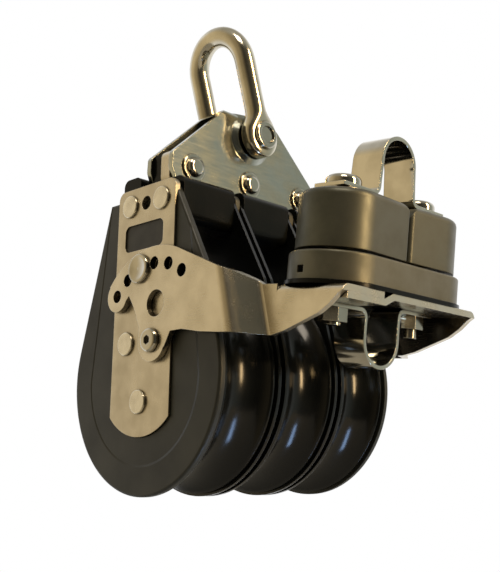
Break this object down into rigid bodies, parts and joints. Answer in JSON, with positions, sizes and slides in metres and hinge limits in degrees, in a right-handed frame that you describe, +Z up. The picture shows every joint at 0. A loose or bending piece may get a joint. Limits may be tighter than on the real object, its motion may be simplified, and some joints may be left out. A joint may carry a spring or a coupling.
{
  "type": "triple mainsheet block with cam cleat",
  "caption": "Triple sheave block on a shackle head, with a cam cleat and rope fairleads on a tilting bracket in front of the sheaves.",
  "frame": {"origin": "inner face of the shackle bow's top, where the block hangs from its fitting", "axes": "+Z up along the straps, +X along the axle from the near cheek to the far one, -Y towards the cleat"},
  "size_m": [0.0914, 0.1171, 0.1712],
  "materials": {
    "polished_stainless": "electropolished 316 stainless steel",
    "polished_plate": "polished stainless plate, faintly brushed",
    "polished_strip": "bright stainless strip",
    "satin_stainless": "satin stainless plate, fine linear grain",
    "black_nylon": "moulded glass-filled nylon, fine matt texture",
    "black_acetal": "turned black acetal, glossy",
    "white_acetal": "natural acetal",
    "hard_anodised": "dark hard-anodised aluminium, satin",
    "spring_steel": "drawn stainless spring wire"
  },
  "bodies": {
    "shackle": {"shackle_bow": "polished_stainless", "shackle_pin": "polished_stainless"},
    "block": {"head_channel": "polished_plate", "head_bar": "satin_stainless", "head_rivets": "polished_stainless", "through_rivets": "satin_stainless", "cheek_rivets": "satin_stainless", "axle": "satin_stainless", "pivot_screws": "polished_stainless", "cheek_near": "black_nylon", "cheek_far": "black_nylon", "strap_near": "satin_stainless", "strap_far": "satin_stainless", "label_near": "black_nylon", "label_far": "black_nylon", "divider_discs_near": "black_acetal", "divider_discs_far": "black_acetal", "inner_strap_near": "satin_stainless", "inner_strap_far": "satin_stainless", "spacer_near": "black_acetal", "spacer_middle": "black_acetal", "spacer_far": "black_acetal", "inner_race_near": "satin_stainless", "inner_race_middle": "satin_stainless", "inner_race_far": "satin_stainless"},
    "bracket": {"bracket_near_half": "satin_stainless", "bracket_far_half": "satin_stainless", "index_screws": "polished_stainless", "cleat_pad": "black_nylon", "cleat_base": "hard_anodised", "cleat_screws": "polished_stainless", "cleat_nuts": "polished_stainless", "upper_fairlead": "polished_strip", "lower_fairlead": "polished_strip", "cam_post_near": "satin_stainless", "cam_post_far": "satin_stainless", "cam_spring_near": "spring_steel", "cam_spring_far": "spring_steel"},
    "sheave_near": {"sheave_near": "black_acetal", "race_caps_near": "black_nylon"},
    "roller_set_near": {"rollers_near": "white_acetal"},
    "sheave_middle": {"sheave_middle": "black_acetal", "race_caps_middle": "black_nylon"},
    "roller_set_middle": {"rollers_middle": "white_acetal"},
    "sheave_far": {"sheave_far": "black_acetal", "race_caps_far": "black_nylon"},
    "roller_set_far": {"rollers_far": "white_acetal"},
    "cam_near": {"cam_near": "hard_anodised"},
    "cam_ball_set_near": {"cam_balls_near": "white_acetal"},
    "cam_far": {"cam_far": "hard_anodised"},
    "cam_ball_set_far": {"cam_balls_far": "white_acetal"}
  },
  "joints": [
    {"name": "shackle_swing", "type": "hinge", "parent": "shackle", "child": "block", "pos_m": [0.01116, 0, -0.03538], "axis": [0, 1, 0], "range_deg": [-107.5, 72.5]},
    {"name": "sheave_near_spin", "type": "hinge", "parent": "block", "child": "sheave_near", "pos_m": [-0.01611, 0, -0.12598], "axis": [1, 0, 0], "continuous": true},
    {"name": "rollers_near_orbit", "type": "hinge", "parent": "block", "child": "roller_set_near", "pos_m": [-0.01611, 0, -0.12598], "axis": [1, 0, 0], "continuous": true},
    {"name": "sheave_middle_spin", "type": "hinge", "parent": "block", "child": "sheave_middle", "pos_m": [0.01116, 0, -0.12598], "axis": [1, 0, 0], "continuous": true},
    {"name": "rollers_middle_orbit", "type": "hinge", "parent": "block", "child": "roller_set_middle", "pos_m": [0.01116, 0, -0.12598], "axis": [1, 0, 0], "continuous": true},
    {"name": "sheave_far_spin", "type": "hinge", "parent": "block", "child": "sheave_far", "pos_m": [0.03843, 0, -0.12598], "axis": [1, 0, 0], "continuous": true},
    {"name": "rollers_far_orbit", "type": "hinge", "parent": "block", "child": "roller_set_far", "pos_m": [0.03843, 0, -0.12598], "axis": [1, 0, 0], "continuous": true},
    {"name": "bracket_tilt", "type": "hinge", "parent": "block", "child": "bracket", "pos_m": [0.01116, -0.008, -0.11478], "axis": [1, 0, 0], "range_deg": [-30, 33.4]},
    {"name": "cam_near_turn", "type": "hinge", "parent": "bracket", "child": "cam_near", "pos_m": [-0.00784, -0.06571, -0.08203], "axis": [0, -0.1115, 0.9938], "range_deg": [-45, 0], "stiffness_Nm_per_rad": 0.04, "springref_deg": 28.65},
    {"name": "cam_balls_near_orbit", "type": "hinge", "parent": "bracket", "child": "cam_ball_set_near", "pos_m": [-0.00784, -0.06571, -0.08203], "axis": [0, -0.1115, 0.9938], "range_deg": [-28, 0]},
    {"name": "cam_far_turn", "type": "hinge", "parent": "bracket", "child": "cam_far", "pos_m": [0.03016, -0.06571, -0.08203], "axis": [0, -0.1115, 0.9938], "range_deg": [0, 45], "stiffness_Nm_per_rad": 0.04, "springref_deg": -28.65},
    {"name": "cam_balls_far_orbit", "type": "hinge", "parent": "bracket", "child": "cam_ball_set_far", "pos_m": [0.03016, -0.06571, -0.08203], "axis": [0, -0.1115, 0.9938], "range_deg": [0, 28]}
  ],
  "couplings": [
    {"joint": "rollers_near_orbit", "follows": "sheave_near_spin", "ratio": 0.5941},
    {"joint": "rollers_middle_orbit", "follows": "sheave_middle_spin", "ratio": 0.5941},
    {"joint": "rollers_far_orbit", "follows": "sheave_far_spin", "ratio": 0.5941},
    {"joint": "cam_balls_near_orbit", "follows": "cam_near_turn", "ratio": 0.619},
    {"joint": "cam_balls_far_orbit", "follows": "cam_far_turn", "ratio": 0.619}
  ]
}
